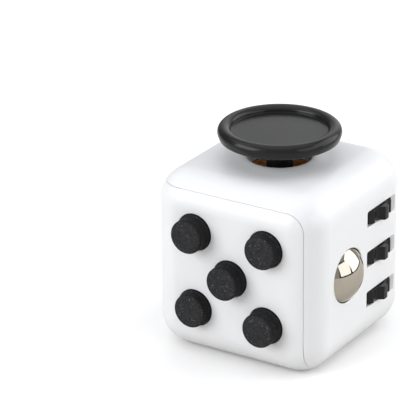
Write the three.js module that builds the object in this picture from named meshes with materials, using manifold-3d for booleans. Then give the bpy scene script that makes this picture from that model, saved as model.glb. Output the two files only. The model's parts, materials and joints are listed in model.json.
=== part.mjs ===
// Fidget cube: a hand-sized plastic cube with a different toy on every face.
// Millimetres, +Z up, the front (click) face towards -Y. Geometry is laid out about
// the cube's centre and lifted at the end so that the base rests on z = 0.
import * as THREE from 'three';
import { mergeVertices } from 'three/addons/utils/BufferGeometryUtils.js';
import { RoundedBoxGeometry } from 'three/addons/geometries/RoundedBoxGeometry.js';
import Module from 'manifold-3d';

// ---------- cube ----------
const CUBE = 33;
const HALF = CUBE / 2;
const EDGE_R = 5.8;
const WALL = 2;
const INNER = HALF - WALL;
const INNER_R = EDGE_R - WALL;

// parting line of the two three-sided shells
const SEAM = HALF - 1;
const SEAM_END = 13.94;
const PLUG = 12;
const SEAM_GAP = 0.12;
const EDGE_START = HALF - EDGE_R;

// ---------- common hardware ----------
const SCREW_R = 0.7;
const PILOT_R = 0.82;
const HEAD_R = 1.45;
const HEAD_H = 0.65;
const RECESS_REACH = 0.85;
const RECESS_HALF = 0.11;
const BOSS_R = 1.6;
const SKIN_LEFT = 0.8;
const TOUCH = 0.05;
const CLEARANCE = 0.15;
const LEAF = 0.2;
const PAST = 1;

// ---------- click face (-Y) ----------
const BUTTON_PITCH = 7.1;
const BUTTON_CENTRE_Z = -0.1;
const BUTTON_HOLE_R = 3.5;
const BUTTON_R = 3.29;
const BUTTON_WAIST_R = 3;
const BUTTON_CAP_R = 3.08;
const BUTTON_OUT = { tall: 2.95, short: 2.15 };
const BUTTON_KIND = ['tall', 'short', 'tall', 'short', 'tall'];
const BUTTON_BACK = 13.75;
const BUTTON_FLANGE_R = 4.15;
const BUTTON_FLANGE_H = 0.6;
const DOME_TOP = 13.2;
const DOME_FOOT_R = 3.5;
const CARRIER_HALF = 10.6;
const MAT_TOP = 12.1;
const PLATE_BACK = 10.85;
const PLATE_THICK = 0.5;
const CLICK_SCREW = 7.6;

// ---------- glide face (+Z) ----------
const GLIDE_OPENING_R = 5.7;
const GLIDE_LIP_H = 0.45;
const GLIDE_LIP_R = [6.2, 9.2];
const DISC_R = 10.78;
const DISC_BOTTOM = HALF + 3.6;
const RIM_WIDEST = HALF + 4.9;
const RIM_CREST = HALF + 6.1;
const RIM_CREST_R = 9.65;
const DISH_R = 8.44;
const DISH_EDGE = HALF + 5.3;
const DISH_FLOOR = HALF + 5;
const STEM_R = 2.35;
const STEM_NECK_R = 1.3;
const STEM_SEAT = 13.38;
const STEM_FOOT = 12.45;
const GLIDE_TRAVEL = 2;
const CARRIAGE_HALF = [6.4, 6.6];
const CARRIAGE_Z = [13.45, 14.35];
const RETAINER_R = 3.4;
const RETAINER_Z = [12.5, 13.3];
const GLIDE_FRAME_Z = [11.3, 14.42];
const GLIDE_POCKET = 8.6;
const LOWER_POCKET = 5.6;
const LOWER_POCKET_Z = 12.3;
const FLOOR_HOLE_R = 4.6;
const GLIDE_SCREW = 9.2;

// ---------- roll face (+X) ----------
const BALL_R = 5.9;
const BALL_AT = [12.8, -4.6, -0.25];
const SOCKET_R = 6.05;
const CUP_R = 5.4;
const CUP_X = [5.6, 9.6];
const GUIDE_X = [2.6, 8.6];
const GUIDE_R = [5.5, 6.1];
const GUIDE_FLOOR = 0.8;
const GEAR_TEETH = 9;
const GEAR_TIP_R = 5.25;
const GEAR_ROOT_R = 4.35;
const GEAR_THICK = 2.5;
const GEAR_PITCH = 7.59;
const AXLE_AT = [12.4, 6.75];
const AXLE_R = 1;
const AXLE_HALF = 10.75;
const RUNNING_GAP = 0.08;
const SLOT_Y = [1.94, 11.8];
const SLOT_H = 2.9;
const RELIEF_Y = [1.6, 12];
const RELIEF_H = 3.2;
const BRACKET_X = [5.9, 6.8];
const BRACKET_Y = [1.05, 12.3];
const BRACKET_HALF = 10.8;
const CHEEK_Y = [3, 11.4];
const CHEEK_X = 13.9;
const CHEEK_THICK = 1.2;
const BRACKET_SCREW = [10.6, 3.9];

// ---------- flip face (+Y) ----------
const ROCKER_TILT = THREE.MathUtils.degToRad(9);
const PIVOT_Y = 14.2;
const ROCKER_HALF_W = 3.9;
const ROCKER_SIDE_GAP = 0.4;
const ROCKER_OPENING = 6.7;
const ROCKER_END = 5.65;
const ROCKER_END_Y = 18.1;
const ROCKER_MIDDLE_Y = 17.25;
const ROCKER_PIN_R = 0.8;
const PIN_HALF = 5;
const CRADLE_Y = [9.6, 10.6];
const CRADLE_HALF = [5.05, 10.4];
const LUG_INSIDE = 4.15;
const LUG_HALF = 2.6;
const LUG_TOP = 14.35;
const CRADLE_SCREW = 8.7;

// ---------- spin face (-X) ----------
const DIAL_R = 8.6;
const DIAL_OUT = 2.2;
const DIAL_SHAFT_R = 2.5;
const SHAFT_BACK = 12.45;
const KNURLS = 30;
const KNURL_DEPTH = 0.35;
const STAR_R = 4.6;
const STAR_LOBES = 12;
const STAR_X = [13.25, 14.35];
const SPIN_SCREW_Y = 7.7;
const ARM_INSIDE = 4.75;
const ARM_OUTSIDE = 4.98;
const ARM_END = -5;
const ARM_BEND = [6.6, 6.85];
const TAB = [9.3, 1.7];
const ARM_X = [13.7, 14.4];

// ---------- worry-stone face (-Z) ----------
const PAD_R = 9.6;
const PAD_FLANGE_R = 10.4;
const PAD_FLANGE = [13.65, 14.42];
const PAD_DEPTH = 1.9;
const PAD_FRAME_Z = [12.7, 13.6];
const PAD_FRAME_HOLE_R = 7.2;
const PAD_SCREW = 9.1;

// ---------- finishes ----------
const finish = (color, roughness, metalness) =>
  new THREE.MeshStandardMaterial({ color, roughness, metalness });
const WHITE = finish(0xf2f4f6, 0.35, 0);
const BLACK_RUBBER = finish(0x17181a, 0.8, 0);
const BLACK_PLASTIC = finish(0x1c1e20, 0.5, 0);
const AMBER = finish(0xb5691f, 0.4, 0);
const STEEL = finish(0xb9bcbf, 0.3, 1);
const NICKEL = finish(0xd8d3c8, 0.12, 1);
const NATURAL = finish(0xd9d6cc, 0.5, 0);
const SILICONE = finish(0x8c9094, 0.7, 0);

// ---------- solids ----------
const wasm = await Module();
wasm.setup();

// Shared corners, no slivers of zero size, and faces turned outwards.
function weld(geometry) {
  const bare = geometry.clone();
  bare.deleteAttribute('normal');
  bare.deleteAttribute('uv');
  const merged = mergeVertices(bare, 1e-4);
  const from = merged.index.array;
  const at = merged.attributes.position;
  const corner = [new THREE.Vector3(), new THREE.Vector3(), new THREE.Vector3()];
  const kept = [];
  let volume = 0;
  for (let i = 0; i < from.length; i += 3) {
    const [a, b, c] = [from[i], from[i + 1], from[i + 2]];
    if (a === b || b === c || a === c) {
      continue;
    }
    kept.push(a, b, c);
    [a, b, c].forEach((v, k) => corner[k].fromBufferAttribute(at, v));
    volume += corner[0].dot(corner[1].cross(corner[2])) / 6;
  }
  if (volume < 0) {
    kept.reverse();
  }
  merged.setIndex(kept);
  return merged;
}

function toManifold(geometry) {
  const welded = weld(geometry);
  return new wasm.Manifold(new wasm.Mesh({
    numProp: 3,
    vertProperties: new Float32Array(welded.attributes.position.array),
    triVerts: new Uint32Array(welded.index.array),
  }));
}

function toGeometry(manifold) {
  const mesh = manifold.getMesh();
  const geometry = new THREE.BufferGeometry();
  geometry.setAttribute('position', new THREE.BufferAttribute(mesh.vertProperties, 3));
  geometry.setIndex(new THREE.BufferAttribute(mesh.triVerts, 1));
  return geometry;
}

function join(first, ...others) {
  return toGeometry(others.reduce((sum, g) => sum.add(toManifold(g)), toManifold(first)));
}

function cut(first, ...others) {
  return toGeometry(others.reduce((sum, g) => sum.subtract(toManifold(g)), toManifold(first)));
}

function common(first, second) {
  return toGeometry(toManifold(first).intersect(toManifold(second)));
}

// A box from its low and high corners.
function box(low, high) {
  const size = high.map((h, i) => h - low[i]);
  const middle = high.map((h, i) => (h + low[i]) / 2);
  return new THREE.BoxGeometry(...size).translate(...middle);
}

// A turned solid: [radius, height] pairs about +Z that start and end on the axis.
function turned(profile, segments) {
  const points = profile.map(([r, h]) => new THREE.Vector2(r, h));
  return new THREE.LatheGeometry(points, segments).rotateX(Math.PI / 2);
}

// The same for a closed loop clear of the axis, for rings and bored pieces.
function ring(profile, segments) {
  return turned([...profile, profile[0]], segments);
}

function rod(radius, low, high, segments) {
  return turned([[0, low], [radius, low], [radius, high], [0, high]], segments);
}

function tube(inside, outside, low, high, segments) {
  return ring([[inside, low], [outside, low], [outside, high], [inside, high]], segments);
}

// Points of an ellipse's arc from one angle to another, in degrees.
function arc(centre, radii, from, to, steps) {
  return Array.from({ length: steps + 1 }, (_, i) => {
    const angle = THREE.MathUtils.degToRad(from + ((to - from) * i) / steps);
    return [centre[0] + radii[0] * Math.cos(angle), centre[1] + radii[1] * Math.sin(angle)];
  });
}

// Turn a piece built about +Z so that its +Z points out of the named face.
const FACING = {
  top: (g) => g,
  bottom: (g) => g.rotateX(Math.PI),
  front: (g) => g.rotateX(Math.PI / 2),
  back: (g) => g.rotateX(-Math.PI / 2),
  right: (g) => g.rotateY(Math.PI / 2),
  left: (g) => g.rotateY(-Math.PI / 2),
};

// A flat outline pushed up along +Z from low to high.
function plate(outline, low, high) {
  const shape = new THREE.Shape(outline.map(([x, y]) => new THREE.Vector2(x, y)));
  return new THREE.ExtrudeGeometry(shape, { depth: high - low, bevelEnabled: false })
    .translate(0, 0, low);
}

// A (z, y) outline pushed equally both ways along X.
function acrossX(outline, halfWidth) {
  return plate(outline, -halfWidth, halfWidth)
    .applyMatrix4(new THREE.Matrix4().set(0, 0, 1, 0, 0, 1, 0, 0, 1, 0, 0, 0, 0, 0, 0, 1));
}

// An outline in (y, z) pushed along -X from near to far.
function acrossLeft(outline, near, far) {
  return plate(outline, near, far)
    .applyMatrix4(new THREE.Matrix4().set(0, 0, -1, 0, 1, 0, 0, 0, 0, 1, 0, 0, 0, 0, 0, 1));
}

// A square plate with clipped corners.
function clippedSquare(half, clip, low, high) {
  const outline = [];
  for (const [sx, sy] of [[1, 1], [-1, 1], [-1, -1], [1, -1]]) {
    const a = [sx * (half - clip), sy * half];
    const b = [sx * half, sy * (half - clip)];
    outline.push(...(sx * sy > 0 ? [b, a] : [a, b]));
  }
  return plate(outline, low, high);
}

// A wheel outline: radius(step) at even steps round the circle.
function wheelOutline(count, radius) {
  return Array.from({ length: count }, (_, i) => {
    const angle = (i / count) * Math.PI * 2;
    return [radius(i) * Math.cos(angle), radius(i) * Math.sin(angle)];
  });
}

// A wheel outline that swaps between a tip and a root circle.
const toothed = (teeth, tip, depth) =>
  wheelOutline(teeth * 2, (i) => (i % 2 === 0 ? tip : tip - depth));

// A coil of round wire about +Z.
function coil(radius, wire, low, high, turns) {
  const sides = 5;
  const stepsPerTurn = 12;
  class Helix extends THREE.Curve {
    getPoint(t, target = new THREE.Vector3()) {
      const angle = t * turns * Math.PI * 2;
      return target.set(radius * Math.cos(angle), radius * Math.sin(angle), low + (high - low) * t);
    }
  }
  const section = wheelOutline(sides, () => wire).map(([x, y]) => new THREE.Vector2(x, y));
  return new THREE.ExtrudeGeometry(new THREE.Shape(section), {
    steps: Math.round(turns * stepsPerTurn),
    extrudePath: new Helix(),
  });
}

// A bowed leaf spring: its crown touches x = near and its two ends touch x = far.
function bow(near, far, reach, bottom, top) {
  const steps = 8;
  const inside = Array.from({ length: steps + 1 }, (_, i) => {
    const across = (2 * i) / steps - 1;
    return [near + (far - LEAF - near) * across ** 2, reach * across];
  });
  const outside = inside.map(([x, y]) => [x + LEAF, y]).reverse();
  return plate([...inside, ...outside], bottom, top);
}

// A pan-head screw about +Z: the shank runs up from the head, which has a cross recess.
function screw(length) {
  const chamfer = 0.35;
  const body = turned([
    [0, -HEAD_H], [HEAD_R - chamfer, -HEAD_H], [HEAD_R, chamfer - HEAD_H], [HEAD_R, 0],
    [SCREW_R, 0], [SCREW_R, length - chamfer], [SCREW_R - chamfer, length], [0, length],
  ], 8);
  const depth = [-HEAD_H - TOUCH, chamfer - HEAD_H];
  return cut(
    body,
    box([-RECESS_REACH, -RECESS_HALF, depth[0]], [RECESS_REACH, RECESS_HALF, depth[1]]),
    box([-RECESS_HALF, -RECESS_REACH, depth[0]], [RECESS_HALF, RECESS_REACH, depth[1]]),
  );
}

function boss(face, at, from) {
  return FACING[face](rod(BOSS_R, from + TOUCH, INNER + WALL / 4, 10)).translate(...at);
}

function pilot(face, at, from, to) {
  return FACING[face](rod(PILOT_R, from, to, 10)).translate(...at);
}

const object = new THREE.Group();
object.name = 'fidget_cube';

function add(name, geometry, material) {
  const lifted = weld(geometry).translate(0, 0, HALF).toNonIndexed();
  lifted.computeVertexNormals();
  const mesh = new THREE.Mesh(lifted, material);
  mesh.name = name;
  object.add(mesh);
}

// One screw at each place, its head against the carrier's back at the given depth.
function addScrews(name, face, places, back, length) {
  places.forEach((at, i) => {
    const placed = FACING[face](screw(length).translate(0, 0, back - TOUCH)).translate(...at);
    add(`${name}_${i + 1}`, placed, STEEL);
  });
}

// ---------- where the repeated pieces sit ----------
const buttonPlaces = [[0, 0], [1, 1], [-1, 1], [-1, -1], [1, -1]]
  .map(([x, z]) => [x * BUTTON_PITCH, 0, z * BUTTON_PITCH + BUTTON_CENTRE_Z]);
const gearHeights = [GEAR_PITCH, 0, -GEAR_PITCH];
const clickScrews = [[0, 0, CLICK_SCREW], [0, 0, -CLICK_SCREW]];
const padScrews = [[PAD_SCREW, -PAD_SCREW, 0], [-PAD_SCREW, PAD_SCREW, 0]];
const glideScrews = [[GLIDE_SCREW, -GLIDE_SCREW, 0], [-GLIDE_SCREW, GLIDE_SCREW, 0]];
const bracketScrews = [1, -1].map((s) => [0, BRACKET_SCREW[0], s * BRACKET_SCREW[1]]);
const cradleScrews = [[0, 0, CRADLE_SCREW], [0, 0, -CRADLE_SCREW]];

// ---------- shell: a hollow rounded cube parted along a six-sided zigzag ----------
const hollow = cut(
  new RoundedBoxGeometry(CUBE, CUBE, CUBE, 4, EDGE_R),
  new RoundedBoxGeometry(2 * INNER, 2 * INNER, 2 * INNER, 2, INNER_R),
);

// The front, left and bottom walls, out to the parting line, grown by a gap.
function lowerRegion(gap) {
  const out = -HALF - PAST;
  const far = HALF + PAST;
  const seam = gap - SEAM;
  const edge = gap - EDGE_START;
  const end = gap + SEAM_END;
  const plug = gap + PLUG;
  return join(
    box([out, out, out], [plug, plug, plug]),
    box([out, out, out], [far, seam, far]),
    box([out, out, out], [seam, far, far]),
    box([out, out, out], [far, far, seam]),
    box([out, out, out], [edge, edge, end]),
    box([out, out, out], [edge, end, edge]),
    box([out, out, out], [end, edge, edge]),
  );
}

const THROUGH = [INNER - PAST, HALF + PAST];
const PILOT_TOP = HALF - SKIN_LEFT;
const sphere = (radius) =>
  new THREE.SphereGeometry(radius, 24, 16).rotateX(Math.PI / 2).translate(...BALL_AT);

add('lower_shell', cut(
  join(
    common(hollow, lowerRegion(0)),
    ...clickScrews.map((at) => boss('front', at, MAT_TOP)),
    ...padScrews.map((at) => boss('bottom', at, PAD_FRAME_Z[1])),
  ),
  ...buttonPlaces.map((at) => FACING.front(rod(BUTTON_HOLE_R, ...THROUGH, 24)).translate(...at)),
  ...clickScrews.map((at) => pilot('front', at, MAT_TOP - PAST, PILOT_TOP)),
  ...padScrews.map((at) => pilot('bottom', at, PAD_FRAME_Z[1] - PAST, PILOT_TOP)),
  FACING.bottom(rod(PAD_R + CLEARANCE, ...THROUGH, 32)),
  FACING.left(rod(DIAL_SHAFT_R + CLEARANCE, ...THROUGH, 24)),
  pilot('left', [0, SPIN_SCREW_Y, 0], THROUGH[0], PILOT_TOP),
), WHITE);

const glideLip = turned([
  [0, INNER + WALL / 2], [GLIDE_LIP_R[1], INNER + WALL / 2], [GLIDE_LIP_R[1], HALF],
  [GLIDE_LIP_R[0], HALF + GLIDE_LIP_H], [0, HALF + GLIDE_LIP_H],
], 40);
const pinNotch = box(
  [-PIN_HALF - CLEARANCE, INNER - PAST, -ROCKER_PIN_R - TOUCH],
  [PIN_HALF + CLEARANCE, PIVOT_Y + ROCKER_PIN_R + CLEARANCE, ROCKER_PIN_R + TOUCH],
);
add('upper_shell', cut(
  join(
    cut(hollow, lowerRegion(SEAM_GAP)),
    glideLip,
    ...bracketScrews.map((at) => boss('right', at, BRACKET_X[1])),
    ...cradleScrews.map((at) => boss('back', at, CRADLE_Y[1])),
  ),
  rod(GLIDE_OPENING_R, ...THROUGH, 40),
  ...glideScrews.map((at) => pilot('top', at, THROUGH[0], PILOT_TOP)),
  sphere(SOCKET_R),
  ...gearHeights.map((z) => box(
    [THROUGH[0], SLOT_Y[0], z - SLOT_H / 2],
    [THROUGH[1], SLOT_Y[1], z + SLOT_H / 2],
  )),
  ...gearHeights.map((z) => box(
    [THROUGH[0], RELIEF_Y[0], z - RELIEF_H / 2],
    [HALF - SKIN_LEFT, RELIEF_Y[1], z + RELIEF_H / 2],
  )),
  ...bracketScrews.map((at) => pilot('right', at, BRACKET_X[1] - PAST, BRACKET_X[1] + 4)),
  ...cradleScrews.map((at) => pilot('back', at, CRADLE_Y[1] - PAST, CRADLE_Y[1] + 4)),
  box(
    [-ROCKER_HALF_W - ROCKER_SIDE_GAP, THROUGH[0], -ROCKER_OPENING],
    [ROCKER_HALF_W + ROCKER_SIDE_GAP, THROUGH[1], ROCKER_OPENING],
  ),
  pinNotch,
), WHITE);

// ---------- click: five sprung buttons over rubber domes ----------
// A collar that fills the hole, a slight waist, then the cap with a softened edge.
function buttonProfile(out) {
  const nose = 1.1;
  const flangeTop = BUTTON_BACK + BUTTON_FLANGE_H;
  const capStart = HALF + out / 2;
  return [
    [0, BUTTON_BACK - 0.1], [nose, BUTTON_BACK - 0.1], [nose, BUTTON_BACK],
    [BUTTON_FLANGE_R, BUTTON_BACK], [BUTTON_FLANGE_R, flangeTop], [BUTTON_R, flangeTop],
    [BUTTON_R, HALF + 0.35], [BUTTON_WAIST_R, HALF + 0.7], [BUTTON_WAIST_R, capStart],
    [BUTTON_CAP_R, capStart + 0.15],
    ...arc([BUTTON_CAP_R - 0.4, HALF + out - 0.4], [0.4, 0.4], 0, 90, 3),
    [0, HALF + out],
  ];
}

// A thin rubber cone on a flat foot, open underneath.
const domeProfile = [
  [1, DOME_TOP], [1, DOME_TOP + 0.4], [1.6, DOME_TOP + 0.4], [2.6, 12.5], [2.9, 12.35],
  [DOME_FOOT_R, 12.35], [DOME_FOOT_R, MAT_TOP + TOUCH], [2.35, MAT_TOP + TOUCH],
  [1.35, DOME_TOP],
];
buttonPlaces.forEach((at, i) => {
  const button = turned(buttonProfile(BUTTON_OUT[BUTTON_KIND[i]]), 20);
  add(`click_button_${i + 1}`, FACING.front(button).translate(...at), BLACK_RUBBER);
  add(`click_dome_${i + 1}`, FACING.front(ring(domeProfile, 10)).translate(...at), SILICONE);
});
const carrier = (low, high) => cut(
  FACING.front(clippedSquare(CARRIER_HALF, 1.5, low, high)),
  ...clickScrews.map((at) => pilot('front', at, low - PAST, high + PAST)),
);
add('click_mat', carrier(PLATE_BACK + PLATE_THICK + TOUCH, MAT_TOP), SILICONE);
add('click_plate', carrier(PLATE_BACK, PLATE_BACK + PLATE_THICK), NATURAL);
addScrews('click_screw', 'front', clickScrews, PLATE_BACK, 4);

// ---------- glide: a thumb disc on a cross slide ----------
const rimOuter = [DISC_R - RIM_CREST_R, RIM_CREST - RIM_WIDEST];
add('glide_disc', turned([
  [0, DISC_BOTTOM + 0.65], [STEM_R + TOUCH, DISC_BOTTOM + 0.65], [STEM_R + TOUCH, DISC_BOTTOM],
  [DISC_R - 0.6, DISC_BOTTOM], [DISC_R - 0.3, DISC_BOTTOM + 0.2], [DISC_R - 0.1, HALF + 4.4],
  ...arc([RIM_CREST_R, RIM_WIDEST], rimOuter, 0, 90, 5),
  ...arc([RIM_CREST_R, DISH_EDGE], [RIM_CREST_R - DISH_R, RIM_CREST - DISH_EDGE], 120, 180, 3),
  [DISH_R - 0.3, DISH_FLOOR + 0.1], [DISH_R - 1, DISH_FLOOR], [0, DISH_FLOOR],
], 36), BLACK_PLASTIC);
add('glide_stem', ring([
  [SCREW_R + RUNNING_GAP, STEM_FOOT], [STEM_NECK_R, STEM_FOOT], [STEM_NECK_R, STEM_SEAT],
  [STEM_R, STEM_SEAT], [STEM_R, DISC_BOTTOM + 0.6], [0.3, DISC_BOTTOM + 0.6],
  [0.3, STEM_SEAT + 2.2], [SCREW_R + RUNNING_GAP, STEM_SEAT + 1.8],
], 24), BLACK_PLASTIC);
add('glide_retainer', tube(STEM_NECK_R + TOUCH, RETAINER_R, ...RETAINER_Z, 20), NATURAL);
add('glide_stem_screw', screw(2.6).translate(0, 0, STEM_FOOT - TOUCH), STEEL);
const slotHalf = [STEM_R + 0.1, STEM_R + GLIDE_TRAVEL + 0.15];
add('glide_carriage', cut(
  box([-CARRIAGE_HALF[0], -CARRIAGE_HALF[1], CARRIAGE_Z[0]], [...CARRIAGE_HALF, CARRIAGE_Z[1]]),
  box([-slotHalf[0], -slotHalf[1], CARRIAGE_Z[0] - PAST], [...slotHalf, CARRIAGE_Z[1] + PAST]),
), AMBER);
const pocketSide = CARRIAGE_HALF[1] + 0.1;
const pocketTop = GLIDE_FRAME_Z[1] + PAST;
add('glide_frame', cut(
  clippedSquare(CARRIER_HALF, 0.6, ...GLIDE_FRAME_Z),
  box([-GLIDE_POCKET, -pocketSide, CARRIAGE_Z[0] - TOUCH], [GLIDE_POCKET, pocketSide, pocketTop]),
  box([-LOWER_POCKET, -LOWER_POCKET, LOWER_POCKET_Z], [LOWER_POCKET, LOWER_POCKET, pocketTop]),
  rod(FLOOR_HOLE_R, GLIDE_FRAME_Z[0] - PAST, LOWER_POCKET_Z + TOUCH, 20),
  ...glideScrews.map((at) => pilot('top', at, GLIDE_FRAME_Z[0] - PAST, pocketTop)),
), NATURAL);
[0, 1].forEach((i) => {
  const across = bow(CARRIAGE_HALF[0] + TOUCH, GLIDE_POCKET - TOUCH, 5.6, 13.6, 14.2);
  add(`glide_spring_x${i + 1}`, across.rotateZ(i * Math.PI), STEEL);
  const along = bow(RETAINER_R + TOUCH, LOWER_POCKET - TOUCH, 3.6, 12.6, 13.2);
  add(`glide_spring_y${i + 1}`, along.rotateZ(Math.PI / 2 + i * Math.PI), STEEL);
});
addScrews('glide_screw', 'top', glideScrews, GLIDE_FRAME_Z[0], 4.2);

// ---------- roll: a sprung ball and three thumb wheels on one axle ----------
const toBall = (g) => FACING.right(g).translate(0, BALL_AT[1], BALL_AT[2]);
const onAxle = (g, z) => g.translate(...AXLE_AT, z);
add('roll_ball', sphere(BALL_R), NICKEL);
add('roll_cup', cut(toBall(rod(CUP_R, ...CUP_X, 28)), sphere(BALL_R + 0.12)), NATURAL);
const springRoom = [GUIDE_X[0] + GUIDE_FLOOR + 0.34, CUP_X[0] - 0.34];
add('roll_spring', toBall(coil(3.2, 0.28, ...springRoom, 2)), STEEL);
const cheek = (low) => box(
  [BRACKET_X[0], CHEEK_Y[0], low],
  [CHEEK_X, CHEEK_Y[1], low + CHEEK_THICK],
);
add('roll_bracket', cut(
  join(
    box([BRACKET_X[0], BRACKET_Y[0], -BRACKET_HALF], [BRACKET_X[1], BRACKET_Y[1], BRACKET_HALF]),
    cheek(-BRACKET_HALF),
    cheek(BRACKET_HALF - CHEEK_THICK),
    toBall(ring([
      [0.8, GUIDE_X[0]], [GUIDE_R[1], GUIDE_X[0]], [GUIDE_R[1], GUIDE_X[1]],
      [GUIDE_R[0], GUIDE_X[1]], [GUIDE_R[0], GUIDE_X[0] + GUIDE_FLOOR],
      [0.8, GUIDE_X[0] + GUIDE_FLOOR],
    ], 28)),
  ),
  onAxle(rod(AXLE_R + TOUCH, -AXLE_HALF - PAST, AXLE_HALF + PAST, 20), 0),
  ...bracketScrews.map((at) => pilot('right', at, BRACKET_X[0] - PAST, BRACKET_X[1] + PAST)),
), NATURAL);
const axleTip = AXLE_R - 0.2;
add('roll_axle', onAxle(turned([
  [0, -AXLE_HALF], [axleTip, -AXLE_HALF], [AXLE_R, 0.2 - AXLE_HALF],
  [AXLE_R, AXLE_HALF - 0.2], [axleTip, AXLE_HALF], [0, AXLE_HALF],
], 20), 0), STEEL);

// Each tooth is broad and square-shouldered, with a finger-wide scallop between.
const TOOTH_DIPS = [0, 0, 0.35, 0.8, 1, 1, 0.8, 0.35];
const gearOutline = wheelOutline(GEAR_TEETH * TOOTH_DIPS.length, (i) =>
  GEAR_TIP_R - (GEAR_TIP_R - GEAR_ROOT_R) * TOOTH_DIPS[i % TOOTH_DIPS.length]);
const toothCentre = Math.PI / (GEAR_TEETH * TOOTH_DIPS.length);
const boreR = AXLE_R + RUNNING_GAP;
gearHeights.forEach((z, i) => {
  const wheel = cut(
    plate(gearOutline, -GEAR_THICK / 2, GEAR_THICK / 2).rotateZ(-toothCentre),
    rod(boreR, -GEAR_THICK, GEAR_THICK, 20),
  );
  add(`roll_wheel_${i + 1}`, onAxle(wheel, z), BLACK_PLASTIC);
});
const spacerHalf = (GEAR_PITCH - GEAR_THICK) / 2 - 0.1;
[1, -1].forEach((side, i) => {
  const spacer = tube(boreR, 1.8, -spacerHalf, spacerHalf, 16);
  add(`roll_spacer_${i + 1}`, onAxle(spacer, (side * GEAR_PITCH) / 2), NATURAL);
});
const leafX = [BRACKET_X[1] + TOUCH, BRACKET_X[1] + TOUCH + LEAF];
add('roll_leaf', join(
  box([leafX[0], 3.4, -9.2], [leafX[1], 4.8, 9.2]),
  ...gearHeights.map((z) => box([leafX[0], 4.5, z - 1], [leafX[1], 8.4, z + 1])),
), STEEL);
addScrews('roll_screw', 'right', bracketScrews, BRACKET_X[0], 4);

// ---------- flip: a rocker that rests tipped to one side ----------
// Half of the outline as (z, y) pairs, from the crown over the raised end to the keel.
const rockerHalf = [
  [3, ROCKER_MIDDLE_Y + 0.25], [ROCKER_END, ROCKER_END_Y], [ROCKER_END + 0.25, ROCKER_END_Y - 0.35],
  [5.3, 14.4], [2.6, 12.7], [0.9, 11.75],
];
const rockerOutline = [
  [0, ROCKER_MIDDLE_Y], ...rockerHalf, [0, 11.6],
  ...rockerHalf.map(([z, y]) => [-z, y]).reverse(),
];
const pivotRod = (radius, halfLength) =>
  FACING.right(rod(radius, -halfLength, halfLength, 16)).translate(0, PIVOT_Y, 0);
add('flip_rocker',
  cut(acrossX(rockerOutline, ROCKER_HALF_W), pivotRod(ROCKER_PIN_R + 0.07, PIN_HALF + PAST))
    .translate(0, -PIVOT_Y, 0)
    .rotateX(-ROCKER_TILT)
    .translate(0, PIVOT_Y, 0),
  BLACK_PLASTIC);
add('flip_pin', pivotRod(ROCKER_PIN_R, PIN_HALF), STEEL);
const lug = (low) => box(
  [low, CRADLE_Y[0], -LUG_HALF],
  [low + CRADLE_HALF[0] - LUG_INSIDE, LUG_TOP, LUG_HALF],
);
add('flip_cradle', cut(
  join(
    box([-CRADLE_HALF[0], CRADLE_Y[0], -CRADLE_HALF[1]], [CRADLE_HALF[0], CRADLE_Y[1], CRADLE_HALF[1]]),
    lug(-CRADLE_HALF[0]),
    lug(LUG_INSIDE),
  ),
  pivotRod(ROCKER_PIN_R + TOUCH, PIN_HALF + PAST),
  ...cradleScrews.map((at) => pilot('back', at, CRADLE_Y[0] - PAST, CRADLE_Y[1] + PAST)),
), NATURAL);
const leafFoot = CRADLE_Y[1] + TOUCH;
const leafArch = [
  [-5.5, leafFoot], [-4.6, leafFoot], [-1.6, 11.2], [1.6, 11.2], [4.6, leafFoot], [5.5, leafFoot],
];
add('flip_leaf', acrossX([
  ...leafArch, ...leafArch.map(([z, y]) => [z, y + LEAF]).reverse(),
], 1.6), STEEL);
addScrews('flip_screw', 'back', cradleScrews, CRADLE_Y[0], 4);

// ---------- spin: a knurled dial with a click wheel behind the wall ----------
const dialBack = HALF + CLEARANCE;
const dialFront = HALF + DIAL_OUT;
const dialShoulder = dialFront - 0.6;
const dialForm = turned([
  [0, SHAFT_BACK], [DIAL_SHAFT_R, SHAFT_BACK], [DIAL_SHAFT_R, dialBack], [DIAL_R + 0.1, dialBack],
  [DIAL_R + 0.1, dialShoulder], [DIAL_R - 0.5, dialFront], [DIAL_R - 1.4, dialFront],
  [DIAL_R - 2.2, dialShoulder], [0, HALF + 1.2],
], 40);
const fingerDimple = new THREE.SphereGeometry(4, 20, 14)
  .scale(0.62, 0.62, 0.3)
  .translate(4.1, 0, dialFront);
add('spin_dial', FACING.left(cut(
  join(
    common(plate(toothed(KNURLS, DIAL_R, KNURL_DEPTH), dialBack, dialFront), dialForm),
    rod(DIAL_SHAFT_R, SHAFT_BACK, HALF + 0.6, 24),
  ),
  fingerDimple,
  rod(PILOT_R, SHAFT_BACK - PAST, SHAFT_BACK + 3.1, 10),
)), BLACK_PLASTIC);
add('spin_star', FACING.left(cut(
  plate(toothed(STAR_LOBES, STAR_R, 0.45), ...STAR_X),
  rod(DIAL_SHAFT_R + TOUCH, STAR_X[0] - PAST, STAR_X[1] + PAST, 24),
)), NATURAL);
add('spin_washer', FACING.left(tube(0.9, 3.4, 11.9, SHAFT_BACK - TOUCH, 20)), STEEL);
add('spin_screw', FACING.left(screw(3.4).translate(0, 0, 11.9 - TOUCH)), STEEL);

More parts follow.
